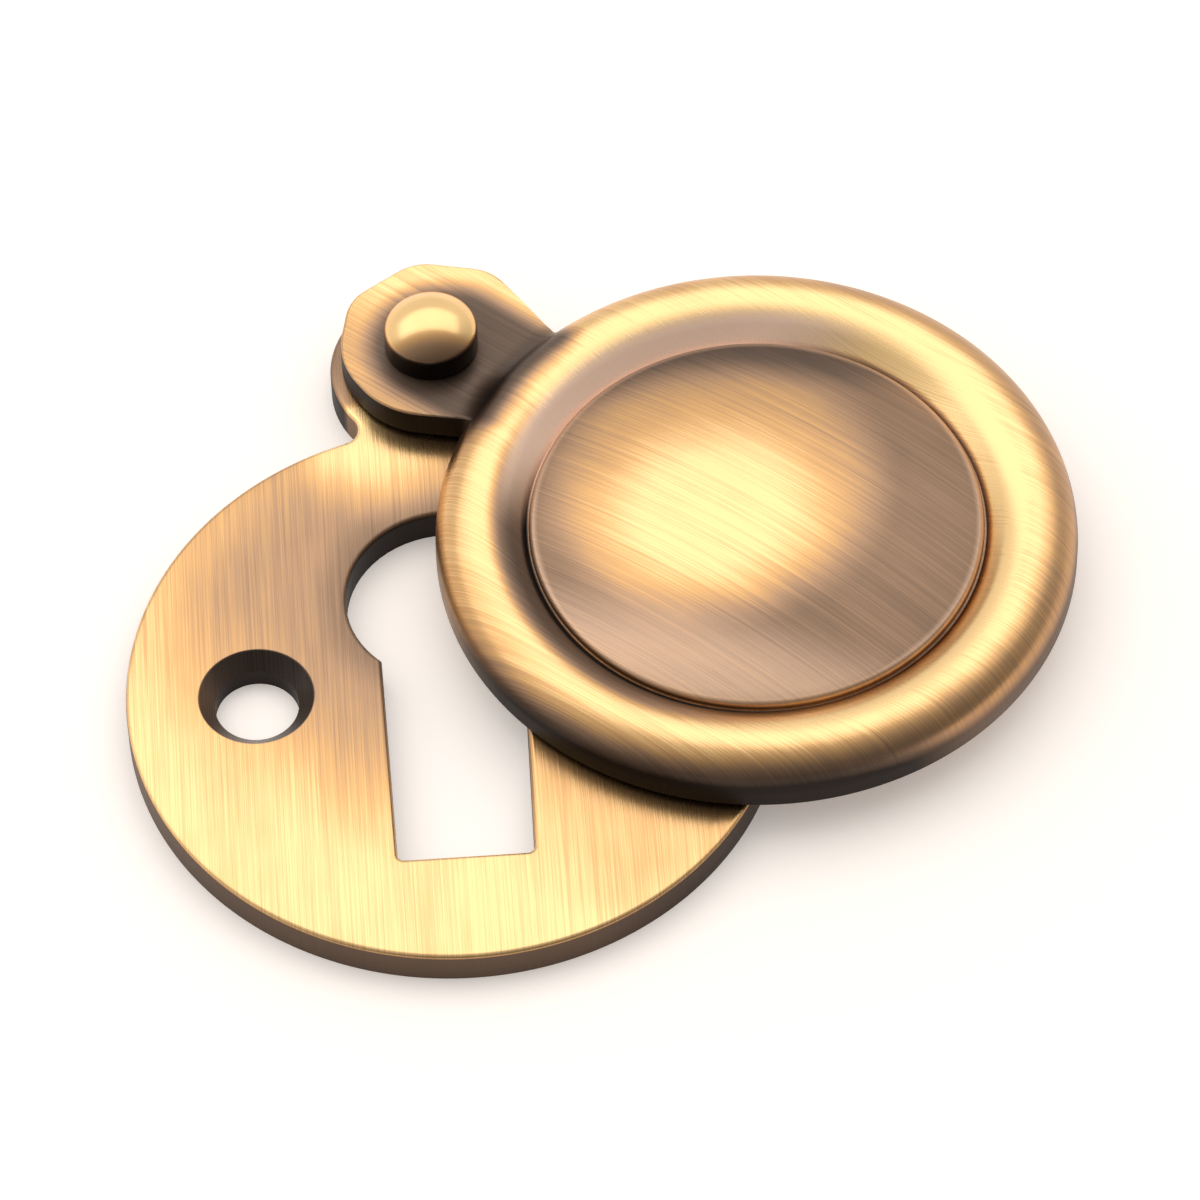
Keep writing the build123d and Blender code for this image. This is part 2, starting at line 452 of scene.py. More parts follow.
def cap_radius(half, rise):
    """The radius of the circle whose cap has this half width and this rise."""
    return (half**2 + rise**2) / (2 * rise)


def eased_cap(half, top, rise, ease):
    """A cap that is eased into an upright wall: circle centre, cap angle and the easing's centre."""
    radius = cap_radius(half, rise)
    centre = (0, top - radius)
    angle = degrees(asin((half - ease) / (radius - ease)))
    ease_centre = (half - ease, centre[1] + (radius - ease) * cos(radians(angle)))
    return centre, angle, ease_centre


def inner_slope():
    """The centre of the round inside the ring's crest, and the top of the straight slope below it."""
    slope_width = RING_MIDDLE - DOME_RADIUS - GROOVE_WIDTH
    crest_run = slope_width - (RING_CREST - GROOVE_FLOOR) / tan(SLOPE_LEAN)
    crest_round = crest_run / tan(SLOPE_LEAN / 2)
    crest = (RING_MIDDLE, RING_CREST - crest_round)
    return crest, (crest[0] - crest_round * sin(SLOPE_LEAN), crest[1] + crest_round * cos(SLOPE_LEAN))


def draw_cover_section():
    """From the crown over dome, groove and ring, and back under them to the axis."""
    dome, dome_angle, ease = eased_cap(DOME_RADIUS, COVER_CROWN, COVER_CROWN - DOME_EDGE, DOME_EDGE_ROUND)
    crest, slope_top = inner_slope()
    core = cap_radius(DOME_CORE_RADIUS, DOME_CORE_DEPTH)
    ring_core = cap_radius(RING_CORE_HALF, RING_CORE_DEPTH)
    ring_core_y = RING_CORE_DEPTH - ring_core
    ring_core_turn = 180 + 2 * degrees(asin(ring_core_y / ring_core))
    draw(UPRIGHT, (0, COVER_CROWN), [
        ("arc", dome, -dome_angle, DOME_STEPS),
        ("arc", ease, dome_angle - 90, EASE_STEPS),
        ("line", (DOME_RADIUS, GROOVE_FLOOR)),
        ("line", (DOME_RADIUS + GROOVE_WIDTH, GROOVE_FLOOR)),
        ("line", slope_top),
        ("arc", crest, -degrees(SLOPE_LEAN), CREST_STEPS),
        ("arc", (RING_MIDDLE, RING_FOOT), -90, RING_STEPS),
        ("line", (COVER_RADIUS, 0)),
        ("line", (RING_MIDDLE + RING_CORE_HALF, 0)),
        ("arc", (RING_MIDDLE, ring_core_y), ring_core_turn, CORE_STEPS),
        ("line", (DOME_CORE_RADIUS, 0)),
        ("arc", (0, DOME_CORE_DEPTH - core), degrees(asin(DOME_CORE_RADIUS / core)), CORE_STEPS),
    ])


def turn_on_lathe(steps):
    """Spins the drawn section once round the upright axis."""
    bpy.ops.mesh.select_all(action="SELECT")
    bpy.ops.mesh.spin(steps=steps, angle=2 * pi, center=(0, 0, 0), axis=(0, 0, 1))
    close_surface()


cover = new_piece("domed_cover")
draw_cover_section()
turn_on_lathe(TURN_STEPS)
bpy.ops.object.mode_set(mode="OBJECT")
report(cover)

# %% [markdown]
# ## The cover's ear
#
# The ear is a flat tongue that lies on the plate's ear. Someone filed its right side by hand, and it has
# stayed an eight-sided shape there; the left side is softer. A hollow on either side and a ramp along the
# top let it grow out of the ring without a crease. So the outline is drawn with the hollows in it, and the
# ramp is an arc that starts on the flat top and runs smoothly into the ring's round.

# %% The ear's ramp
EAR_THICKNESS = 1.5
RAMP_FOOT = 16.64
RAMP_ROUND = 2.0


def ramp_curve():
    """The centre of the ramp's curve, the angle it leans by and its upper end, just inside the ring."""
    centre = (RAMP_FOOT, EAR_THICKNESS + RAMP_ROUND)
    lean = degrees(atan2(centre[1] - RING_FOOT, RAMP_FOOT - RING_MIDDLE))
    return centre, lean, step_from(centre, lean + 180, RAMP_ROUND)


def ramp_height(reach):
    """The height of the ear's top at a distance from the cover's axis."""
    centre, _, top = ramp_curve()
    run = min(max(centre[0] - reach, 0), centre[0] - top[0])
    return centre[1] - sqrt(RAMP_ROUND**2 - run**2)


print("the ramp meets the ring at", [round(v, 3) for v in ramp_curve()[2]])

# %% The ear's outline
EAR_X = 0.43
EAR_Y = 19.72
EAR_FLAT = 4.85
EAR_FIRST_FLAT = -18
EAR_CORNER = 45
EAR_FILED_ROUND = 2.4
EAR_CAST_ROUND = 4.3
EAR_CORNER_ROUNDS = [EAR_FILED_ROUND] * 3 + [EAR_CAST_ROUND] * 2
EAR_RIGHT_HOLLOW = 0.45
EAR_LEFT_HOLLOW = 0.8
EAR_ROOT = 14.7
RAMP_SINK = 0.03
EAR_CORNER_STEPS = 14
RIGHT_HOLLOW_STEPS = 12
LEFT_HOLLOW_STEPS = 24
EAR_ROOT_STEPS = 20


def hollow_beside_flat(angle, side, hollow, ring_reach):
    """The centre of the hollow between the ring and the flat facing an angle, right (1) or left (-1)."""
    x, y = step_from((EAR_X, EAR_Y), angle, EAR_FLAT + hollow)
    run_x, run_y = step_from((0, 0), angle - 90 * side, 1)
    inward = x * run_x + y * run_y
    reach = -inward - sqrt(inward**2 - x**2 - y**2 + (ring_reach + hollow) ** 2)
    return x + reach * run_x, y + reach * run_y


def draw_ear_outline():
    """Anticlockwise from inside the ring, by the right hollow, the flats and the left hollow, and back."""
    ring_reach = ramp_curve()[2][0] - RAMP_SINK
    faces = [EAR_FIRST_FLAT + EAR_CORNER * k for k in range(len(EAR_CORNER_ROUNDS) + 1)]
    right = hollow_beside_flat(faces[0], 1, EAR_RIGHT_HOLLOW, ring_reach)
    left = hollow_beside_flat(faces[-1], -1, EAR_LEFT_HOLLOW, ring_reach)
    right_angle, left_angle = angle_from((0, 0), right), angle_from((0, 0), left)
    strokes = [
        ("line", step_from((0, 0), right_angle, ring_reach)),
        ("arc", right, faces[0] - right_angle, RIGHT_HOLLOW_STEPS),
    ]
    for face, rounding in zip(faces, EAR_CORNER_ROUNDS):
        corner_reach = (EAR_FLAT - rounding) / cos(radians(EAR_CORNER / 2))
        corner = step_from((EAR_X, EAR_Y), face + EAR_CORNER / 2, corner_reach)
        strokes.append(("line", step_from(corner, face, rounding)))
        strokes.append(("arc", corner, EAR_CORNER, EAR_CORNER_STEPS))
    strokes += [
        ("line", step_from(left, faces[-1], -EAR_LEFT_HOLLOW)),
        ("arc", left, left_angle - faces[-1], LEFT_HOLLOW_STEPS),
        ("line", step_from((0, 0), left_angle, EAR_ROOT)),
        ("arc", (0, 0), right_angle - left_angle, EAR_ROOT_STEPS),
    ]
    draw(FLAT, step_from((0, 0), right_angle, EAR_ROOT), strokes)


ear = new_piece("cover_ear")
draw_ear_outline()
print("ear outline drawn with", len(bmesh.from_edit_mesh(ear.data).verts), "points")

# %% [markdown]
# ## Rounding, trimming and welding the ear
#
# The ear's rim is rounded while its top is still flat, because a bevel likes a plain edge. Then the rim is
# lifted along the ramp's curve, and a lathe-turned block with that curve trims the top to match. A boolean
# union welds the ear to the ring, and a difference drills the rivet's hole. Booleans fail on surfaces that
# lie in one plane, so the blocks stop a hair away from the cover's own faces.

# %% The ear's block
EAR_EDGE_ROUND = 0.2
EAR_SPARE = 1.0
HAIR = 0.008
MANY_CORNERS = 8


def fill_outline():
    """Merges the ends of the drawn outline and makes it one face."""
    bpy.ops.mesh.select_all(action="SELECT")
    bpy.ops.mesh.remove_doubles(threshold=MERGE_REACH * MM)
    bpy.ops.mesh.edge_face_add()


def lift_along_ramp(block):
    """Lifts the block's upper rim by the ramp's height there."""
    mesh = bmesh.from_edit_mesh(block.data)
    for vertex in mesh.verts:
        if vertex.co.z > 0:
            vertex.co.z += (ramp_height(vertex.co.xy.length / MM) - EAR_THICKNESS) * MM
    bmesh.update_edit_mesh(block.data)


fill_outline()
bpy.ops.transform.translate(value=(0, 0, -EAR_SPARE * MM))
ear_height = EAR_SPARE + EAR_THICKNESS + HAIR
bpy.ops.mesh.extrude_region_move(TRANSFORM_OT_translate={"value": (0, 0, ear_height * MM)})
close_surface()
rim_count = round_edges(lambda e: is_rim(e, 1), EAR_EDGE_ROUND, EDGE_SEGMENTS)
lift_along_ramp(ear)
pick_faces(lambda f: len(f.verts) > MANY_CORNERS and f.normal.z > 0)
bpy.ops.mesh.extrude_region_move(TRANSFORM_OT_translate={"value": (0, 0, EAR_SPARE * MM)})
close_surface()
bpy.ops.object.mode_set(mode="OBJECT")
print("rounded", rim_count, "edges of the ear's rim")

# %% The block that trims the ear
TRIM_REACH = 28.0
TRIM_ROOT = EAR_ROOT - 0.7
TRIM_STEPS = 40
RAMP_STEPS = 12


def make_ramp_block():
    """A block under the ramp's curve and the ear's top, a hair above the cover's back, past the ear."""
    centre, lean, top = ramp_curve()
    block = new_piece("ramp_block")
    draw(UPRIGHT, (TRIM_REACH, HAIR), [
        ("line", (TRIM_REACH, EAR_THICKNESS)),
        ("line", (RAMP_FOOT, EAR_THICKNESS)),
        ("arc", centre, lean - 90, RAMP_STEPS),
        ("line", (TRIM_ROOT, top[1])),
        ("line", (TRIM_ROOT, HAIR)),
        ("line", (TRIM_REACH, HAIR)),
    ])
    fill_outline()
    sweep = 360 * TRIM_STEPS / TURN_STEPS
    first = 90 - sweep / 2
    bpy.ops.transform.rotate(value=-radians(first), orient_axis="Z", center_override=(0, 0, 0))
    bpy.ops.mesh.spin(steps=TRIM_STEPS, angle=-radians(sweep), center=(0, 0, 0), axis=(0, 0, 1))
    close_surface()
    bpy.ops.object.mode_set(mode="OBJECT")
    return block


ramp_block = make_ramp_block()
report(ramp_block)

# %% Trim the ear, weld it to the ring and drill it
SHANK_CLEARANCE = 0.05
CUTTER_STEPS = 96
CUTTER_HEIGHT = 8.0
SLIVER = 0.002


def weld(piece, other, operation):
    """Joins, cuts or trims a piece with another one, which is used up."""
    bpy.ops.object.select_all(action="DESELECT")
    bpy.context.view_layer.objects.active = piece
    step = piece.modifiers.new(operation, "BOOLEAN")
    step.operation = operation
    step.solver = "EXACT"
    step.object = other
    bpy.ops.object.modifier_apply(modifier=step.name)
    bpy.data.objects.remove(other)


def make_hole_cutter():
    """A round bar through the ear, on the rivet's axis, with the shank's clearance."""
    bpy.ops.object.select_all(action="DESELECT")
    bpy.ops.mesh.primitive_cylinder_add(
        vertices=CUTTER_STEPS,
        radius=(SHANK_RADIUS + SHANK_CLEARANCE) * MM,
        depth=CUTTER_HEIGHT * MM,
        location=Vector((0, PIVOT_Y, CUTTER_HEIGHT / 4)) * MM,
    )
    return bpy.context.object


def clean_seams(piece):
    """Removes the slivers that a boolean leaves along its seams."""
    bpy.ops.object.select_all(action="DESELECT")
    bpy.context.view_layer.objects.active = piece
    bpy.ops.object.mode_set(mode="EDIT")
    bpy.ops.mesh.select_all(action="SELECT")
    bpy.ops.mesh.remove_doubles(threshold=SLIVER * MM)
    bpy.ops.mesh.dissolve_degenerate(threshold=SLIVER * MM)
    close_surface()
    bpy.ops.object.mode_set(mode="OBJECT")


weld(ear, ramp_block, "INTERSECT")
clean_seams(ear)
report(ear)
weld(cover, ear, "UNION")
weld(cover, make_hole_cutter(), "DIFFERENCE")
clean_seams(cover)
report(cover)

# %% [markdown]
# ## The rivet
#
# The rivet holds the two ears together and is the cover's axle. Its tail is hammered flush into a cone
# at the back of the plate, its head is a tall button with a domed top. It is a simple turned piece, so
# again one half section and one turn on the lathe.

# %% The rivet
HEAD_RADIUS = 2.33
HEAD_CROWN = 1.2
HEAD_EDGE_ROUND = 0.7
HEAD_GAP = 0.1
HEAD_FOOT = COVER_FOOT + EAR_THICKNESS + HEAD_GAP
HEAD_STEPS = 18
TAIL_RADIUS = SHANK_RADIUS + TAIL_SEAT
RIVET_TURN_STEPS = 128

rivet = new_piece("pivot_rivet_head_and_shank")
head, head_angle, head_ease = eased_cap(HEAD_RADIUS, rivet_high.z, HEAD_CROWN, HEAD_EDGE_ROUND)
draw(UPRIGHT, (0, 0), [
    ("line", (TAIL_RADIUS, 0)),
    ("line", (SHANK_RADIUS, TAIL_SEAT)),
    ("line", (SHANK_RADIUS, HEAD_FOOT)),
    ("line", (HEAD_RADIUS, HEAD_FOOT)),
    ("line", (HEAD_RADIUS, head_ease[1])),
    ("arc", head_ease, 90 - head_angle, EASE_STEPS),
    ("arc", head, head_angle, HEAD_STEPS),
])
turn_on_lathe(RIVET_TURN_STEPS)
bpy.ops.mesh.select_all(action="SELECT")
bpy.ops.transform.translate(value=(0, PIVOT_Y * MM, 0))
bpy.ops.object.mode_set(mode="OBJECT")
report(rivet)

# %% [markdown]
# ## The cover goes onto its rivet
#
# The finished cover is lifted onto the plate and turned aside about the rivet, by the angle at which it
# lies in the photo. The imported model's box gives that angle: its right side is the ring's rightmost
# point, and the ring's centre swings on a circle about the rivet.

# %% Lift and swing the cover
COVER_SWING = degrees(asin((cover_high.x - COVER_RADIUS) / PIVOT_Y))
bpy.ops.object.select_all(action="DESELECT")
bpy.context.view_layer.objects.active = cover
bpy.ops.object.mode_set(mode="EDIT")
bpy.ops.mesh.select_all(action="SELECT")
bpy.ops.transform.translate(value=(0, 0, COVER_FOOT * MM))
bpy.ops.transform.rotate(
    value=-radians(COVER_SWING), orient_axis="Z", center_override=(0, PIVOT_Y * MM, 0)
)
bpy.ops.object.mode_set(mode="OBJECT")
print("cover swung by", round(COVER_SWING, 2), "degrees")
report(cover)

# %% [markdown]
# ## Smooth shading and the lay of the brush marks
#
# Curved metal wants smooth shading, and crisp edges must stay crisp, so faces are smoothed up to an angle
# and the normals weighted by face area: flat faces then stay flat right up to their bevels. Each piece was
# brushed along its own length, from ear to foot. A flat UV map records that lay, so the shader can stretch
# its highlights across the marks. A little of the height is added, or upright walls would shrink to lines.

# %% Smooth the pieces and lay out the brush direction
SMOOTH_ANGLE = 32
LAY_SIZE = 50
RISE_ACROSS = 0.4
RISE_ALONG = 0.3


def smooth(piece):
    """Smooth shading up to an angle, with area-weighted normals."""
    bpy.ops.object.select_all(action="DESELECT")
    piece.select_set(True)
    bpy.context.view_layer.objects.active = piece
    bpy.ops.object.shade_smooth_by_angle(angle=radians(SMOOTH_ANGLE))
    weighted = piece.modifiers.new("weighted normals", "WEIGHTED_NORMAL")
    weighted.keep_sharp = True
    bpy.ops.object.modifier_apply(modifier=weighted.name)


def lay_brush_marks(piece, turn):
    """A UV map whose U runs across the brush marks, for marks turned by some degrees from +Y."""
    across = Vector((cos(radians(turn)), sin(radians(turn)), RISE_ACROSS))
    along = Vector((-sin(radians(turn)), cos(radians(turn)), RISE_ALONG))
    lay = piece.data.uv_layers.new(name="brush lay")
    for corner in piece.data.loops:
        point = piece.data.vertices[corner.vertex_index].co / MM
        lay.data[corner.index].uv = (point.dot(across) / LAY_SIZE, point.dot(along) / LAY_SIZE)


for piece, turn in ((plate, 0), (cover, COVER_SWING), (rivet, 0)):
    smooth(piece)
    lay_brush_marks(piece, turn)
    print(piece.name, "smoothed, brush marks turned by", round(turn, 1), "degrees")

# %% [markdown]
# ## Building a finish from nodes
#
# The brass was blackened, rubbed bright again where a hand or a wheel reaches, brushed and lacquered. All
# of that is built from nodes and the place on the piece, with no picture. A few helpers keep the node code
# short: one adds a node and fills its sockets with values or links, another does one sum. Most of the
# finish is made of soft steps. A step has four numbers: where it starts and ends, and the values there.

# %% Node helpers
Step = namedtuple("Step", "start end low high", defaults=(0.0, 1.0))


def put(tree, kind, inputs=None, **settings):
    """Adds a node. Inputs are named or numbered, and take a value or another node's output."""
    made = tree.nodes.new(kind)
    for name, value in settings.items():
        setattr(made, name, value)
    for key, value in (inputs or {}).items():
        if isinstance(value, bpy.types.NodeSocket):
            tree.links.new(value, made.inputs[key])
        else:
            made.inputs[key].default_value = value
    return made


def sum_of(tree, operation, first, second=0.0, third=0.0):
    """One step of arithmetic."""
    return put(tree, "ShaderNodeMath", {0: first, 1: second, 2: third}, operation=operation).outputs[0]


def total(tree, values):
    """The sum of several values."""
    result = values[0]
    for value in values[1:]:
        result = sum_of(tree, "ADD", result, value)
    return result


def fade(tree, value, step):
    """A soft step from low to high, as a value goes from start to end."""
    inputs = {
        "Value": value, "From Min": step.start, "From Max": step.end, "To Min": step.low, "To Max": step.high
    }
    return put(tree, "ShaderNodeMapRange", inputs, interpolation_type="SMOOTHSTEP").outputs["Result"]


def blend(tree, share, first, second):
    """Goes from the first value to the second as the share goes from 0 to 1."""
    return sum_of(tree, "MULTIPLY_ADD", share, sum_of(tree, "SUBTRACT", second, first), first)


def split(tree, vector):
    """The X, Y and Z of a vector."""
    return put(tree, "ShaderNodeSeparateXYZ", {0: vector}).outputs


def along_side(tree, vector, side):
    """How far a vector reaches towards one side."""
    inputs = {0: vector, 1: side}
    return put(tree, "ShaderNodeVectorMath", inputs, operation="DOT_PRODUCT").outputs["Value"]


print("a soft step has", ", ".join(Step._fields))

# %% [markdown]
# ## Brush marks
#
# A brushing wheel leaves scratches that are a tenth of a millimetre wide and some millimetres long. Noise
# that is squeezed across the marks and stretched along them looks just like that. Three sizes are used:
# fine scratches, broader streaks and soft clouds. All three materials need them, so they are built once,
# as a node group.

# %% The brush marks group
VECTOR = "NodeSocketVector"
FLOAT = "NodeSocketFloat"
COLOUR = "NodeSocketColor"
Mark = namedtuple("Mark", "width length detail share")
BRUSH_MARKS = {
    "Scratches": Mark(width=0.06, length=9.0, detail=3.0, share=0.17),
    "Streaks": Mark(width=0.18, length=14.0, detail=3.0, share=0.08),
    "Clouds": Mark(width=4.0, length=7.0, detail=2.0, share=0.08),
}
NOISE_ROUGHNESS = 0.6
NOISE_RANGE = Step(0.28, 0.72)


def new_group(name, inputs, outputs):
    """An empty shader node group with its sockets: the tree, its input node and its output node."""
    tree = bpy.data.node_groups.new(name, "ShaderNodeTree")
    for label, kind in inputs.items():
        tree.interface.new_socket(label, in_out="INPUT", socket_type=kind)
    for label, kind in outputs.items():
        tree.interface.new_socket(label, in_out="OUTPUT", socket_type=kind)
    return tree, put(tree, "NodeGroupInput"), put(tree, "NodeGroupOutput")


def stretched_noise(tree, place, mark):
    """Noise with marks of a width and a length, in millimetres."""
    scale = (1 / mark.width, 1 / mark.length, 1 / mark.length)
    squeezed = put(tree, "ShaderNodeMapping", {"Vector": place, "Scale": scale}).outputs[0]
    inputs = {"Vector": squeezed, "Scale": 1.0, "Detail": mark.detail, "Roughness": NOISE_ROUGHNESS}
    return put(tree, "ShaderNodeTexNoise", inputs).outputs["Fac"]


def make_brush_marks():
    """Place on the piece in millimetres, marks along Y, to scratches, streaks and clouds from 0 to 1."""
    tree, start, end = new_group("brush marks", {"Place": VECTOR}, dict.fromkeys(BRUSH_MARKS, FLOAT))
    for label, mark in BRUSH_MARKS.items():
        noise = stretched_noise(tree, start.outputs["Place"], mark)
        tree.links.new(fade(tree, noise, NOISE_RANGE), end.inputs[label])
    return tree


brush_marks = make_brush_marks()
print("brush marks group has", len(brush_marks.nodes), "nodes")

# %% [markdown]
# ## Aged brass
#
# One number says how far the brass was rubbed back: 0 is blackened metal in a recess, 1 is bright metal on
# a crest. The finishes below also raise and lower that number for painted light and shade, so it carries
# both. The scratches and streaks push that number up and down before it picks a colour, so the edge of a
# dark patch breaks up along the brush marks, as it does on the real piece. Between black and gold the
# brass goes through a rosy brown. Blackened brass is also rougher, and shows less of the marks.

# %% The aged brass group
BRASS_COLOURS = {
    "blackened": (0.028, 0.022, 0.019, 1),
    "dark brown": (0.13, 0.086, 0.06, 1),
    "rose brown": (0.36, 0.215, 0.125, 1),
    "golden": (0.62, 0.345, 0.138, 1),
    "rubbed bright": (0.9, 0.6, 0.27, 1),
}
MARKS_SHOW = Step(0.3, 0.7, 0.4, 1.0)
BRASS_ROUGHNESS = Step(0.0, 0.9, 0.46, 0.27)
STREAK_RELIEF = 0.5


def colour_steps(tree, factor, colours):
    """A colour ramp through the given colours, evenly spaced."""
    ramp = put(tree, "ShaderNodeValToRGB", {"Fac": factor})
    elements = ramp.color_ramp.elements
    for k in range(1, len(colours) - 1):
        elements.new(k / (len(colours) - 1))
    for element, colour in zip(elements, colours):
        element.color = colour
    return ramp.outputs["Color"]


def make_aged_brass():
    """How far it is rubbed back, and the marks with their depth, to colour, roughness and bump height."""
    tree, start, end = new_group(
        "aged brass",
        dict.fromkeys(["Rubbed", "Depth", "Dullness", *BRUSH_MARKS], FLOAT),
        {"Color": COLOUR, "Roughness": FLOAT, "Height": FLOAT},
    )
    given = start.outputs
    rubbed = given["Rubbed"]
    depth = sum_of(tree, "MULTIPLY", given["Depth"], fade(tree, rubbed, MARKS_SHOW))
    for label, mark in BRUSH_MARKS.items():
        centred = sum_of(tree, "SUBTRACT", given[label], 0.5)
        deep = sum_of(tree, "MULTIPLY", centred, depth)
        rubbed = sum_of(tree, "MULTIPLY_ADD", deep, mark.share, rubbed)
    roughness = sum_of(tree, "MULTIPLY", fade(tree, rubbed, BRASS_ROUGHNESS), given["Dullness"])
    height = sum_of(tree, "MULTIPLY_ADD", given["Streaks"], STREAK_RELIEF, given["Scratches"])
    tree.links.new(colour_steps(tree, rubbed, list(BRASS_COLOURS.values())), end.inputs["Color"])
    tree.links.new(roughness, end.inputs["Roughness"])
    tree.links.new(height, end.inputs["Height"])
    return tree


aged_brass = make_aged_brass()
print("aged brass group has", len(aged_brass.nodes), "nodes")

# %% [markdown]
# ## What the three finishes share
#
# Each piece says for itself where it was rubbed and where light and shade are painted, and the rest is the
# same for all of them. The place on a piece is measured in millimetres from its own centre and turned so
# that the brush marks run along Y. The way the surface looks tells a wall from a face: upright walls are
# darker, partly as patina where they were hardly touched and partly as painted shade. A thin coat on the
# shader is the lacquer: it adds pale, sharp reflections over the soft golden ones. A painted sheen, a pale
# rosy painted reflection, fades the metal where it lies and lets it scatter the light.

# %% Where a place is and how it looks
def place_on(tree, centre, turn):
    """The place on a piece in millimetres, measured from a centre, with the brush marks along Y."""
    coords = put(tree, "ShaderNodeTexCoord").outputs["Object"]
    inputs = {0: coords, 1: Vector((*centre, 0)) * MM}
    moved = put(tree, "ShaderNodeVectorMath", inputs, operation="SUBTRACT").outputs[0]
    inputs = {"Vector": moved, "Rotation": (0, 0, -radians(turn)), "Scale": (1 / MM,) * 3}
    return put(tree, "ShaderNodeMapping", inputs).outputs[0]


def length_of(tree, across, along):
    """The length of a flat arrow with these two sides."""
    square = sum_of(tree, "MULTIPLY_ADD", along, along, sum_of(tree, "MULTIPLY", across, across))
    return sum_of(tree, "SQRT", square)


def reach_from(tree, place, x, y):
    """The distance in millimetres from an upright axis."""
    parts = split(tree, place)
    return length_of(tree, sum_of(tree, "SUBTRACT", parts["X"], x), sum_of(tree, "SUBTRACT", parts["Y"], y))


def upward(tree):
    """How far the surface looks up: 1 on a flat face, 0 on an upright wall."""
    return split(tree, put(tree, "ShaderNodeTexCoord").outputs["Normal"])["Z"]


print("places on a piece are measured in millimetres,", round(1 / MM), "to a metre")

# %% Joining the brass to the shader
# The painted sheen: a pale rosy painted reflection, and how far it lets the metal scatter the light.
PAINTED_SHEEN_COLOUR = (0.87, 0.6, 0.44, 1)
SHEEN_SCATTER = 0.8
MARK_DEPTH = Step(0.1, 0.7, 0.25, 1.0)
BUMP_DEPTH = 0.02
LACQUER_START = 0.15
LACQUER_FULL = 0.6
LACQUER_ROUGHNESS = 0.2
LACQUER_IOR = 1.6
BRUSH_STRETCH = 0.55


def new_brass(name, centre, turn):
    """A new material: its tree, its shader, the place on the piece and the brush marks there."""
    material = bpy.data.materials.new(name)
    material.use_nodes = True
    tree = material.node_tree
    place = place_on(tree, centre, turn)
    marks = put(tree, "ShaderNodeGroup", {"Place": place}, node_tree=brush_marks).outputs
    return material, tree, tree.nodes["Principled BSDF"], place, dict(marks.items())


def lay_painted_sheen(tree, shader, colour, sheen):
    """Mixes the painted sheen, a pale reflection, over the colour; where it is thick, the metal scatters
    light.
    """
    # A mix node's factor is its socket 0, and its two colours are sockets 6 and 7.
    scatter = sum_of(tree, "MULTIPLY_ADD", sum_of(tree, "MULTIPLY", sheen, sheen), -SHEEN_SCATTER, 1.0)
    tree.links.new(scatter, shader.inputs["Metallic"])
    return put(tree, "ShaderNodeMix", {0: sheen, 6: colour, 7: PAINTED_SHEEN_COLOUR}, data_type="RGBA").outputs[2]


def finish_brass(tree, shader, marks, rubbed, lacquer, relief=0.0, dullness=1.0, sheen=None):
    """Joins the aged brass to the shader, with a lacquer coat and highlights across the brush marks."""
    look_up = upward(tree)
    # The rubbed number carries each piece's wear and also its painted light and shade.
    inputs = {"Rubbed": rubbed, "Depth": fade(tree, look_up, MARK_DEPTH), "Dullness": dullness, **marks}
    brass = put(tree, "ShaderNodeGroup", inputs, node_tree=aged_brass).outputs
    colour = brass["Color"]
    shader.inputs["Metallic"].default_value = 1.0
    # The painted sheen, a pale reflection, goes over the brass colour where one is given.
    if sheen is not None:
        colour = lay_painted_sheen(tree, shader, colour, sheen)
    tree.links.new(colour, shader.inputs["Base Color"])
    tree.links.new(brass["Roughness"], shader.inputs["Roughness"])
    if relief > 0:
        inputs = {"Height": brass["Height"], "Strength": relief, "Distance": BUMP_DEPTH * MM}
        tree.links.new(put(tree, "ShaderNodeBump", inputs).outputs[0], shader.inputs["Normal"])
    lay = put(tree, "ShaderNodeTangent", direction_type="UV_MAP", uv_map="brush lay")
    tree.links.new(lay.outputs[0], shader.inputs["Tangent"])
    coat = fade(tree, look_up, Step(LACQUER_START, LACQUER_FULL, 0.0, lacquer))
    tree.links.new(coat, shader.inputs["Coat Weight"])
    shader.inputs["Anisotropic"].default_value = BRUSH_STRETCH
    shader.inputs["Coat Roughness"].default_value = LACQUER_ROUGHNESS
    shader.inputs["Coat IOR"].default_value = LACQUER_IOR


print("the veil's colour is", PAINTED_SHEEN_COLOUR[:3], "and the lacquer's roughness is", LACQUER_ROUGHNESS)

# %% [markdown]
# ## Brushed brass for the plate
#
# The wheel rubbed the plate brighter along its rim and left it browner towards the middle and round the
# keyhole. The step from middle to rim also holds painted shade where the reflection of the light falls off.
# Painted light brightens the plate under the ear, against the ear's shade, and painted shade browns it
# beside the slot, under the cover's edge. The plate's ear is darker, and the countersinks stayed dark. Such
# patches could be painted on a picture by hand. Soft round spots do it without one, and stay sharp at any
# size: each has a centre and a step that runs outwards from it.

# %% Brushed brass for the plate
PLATE_RELIEF = 0.2
PLATE_LACQUER = 0.15
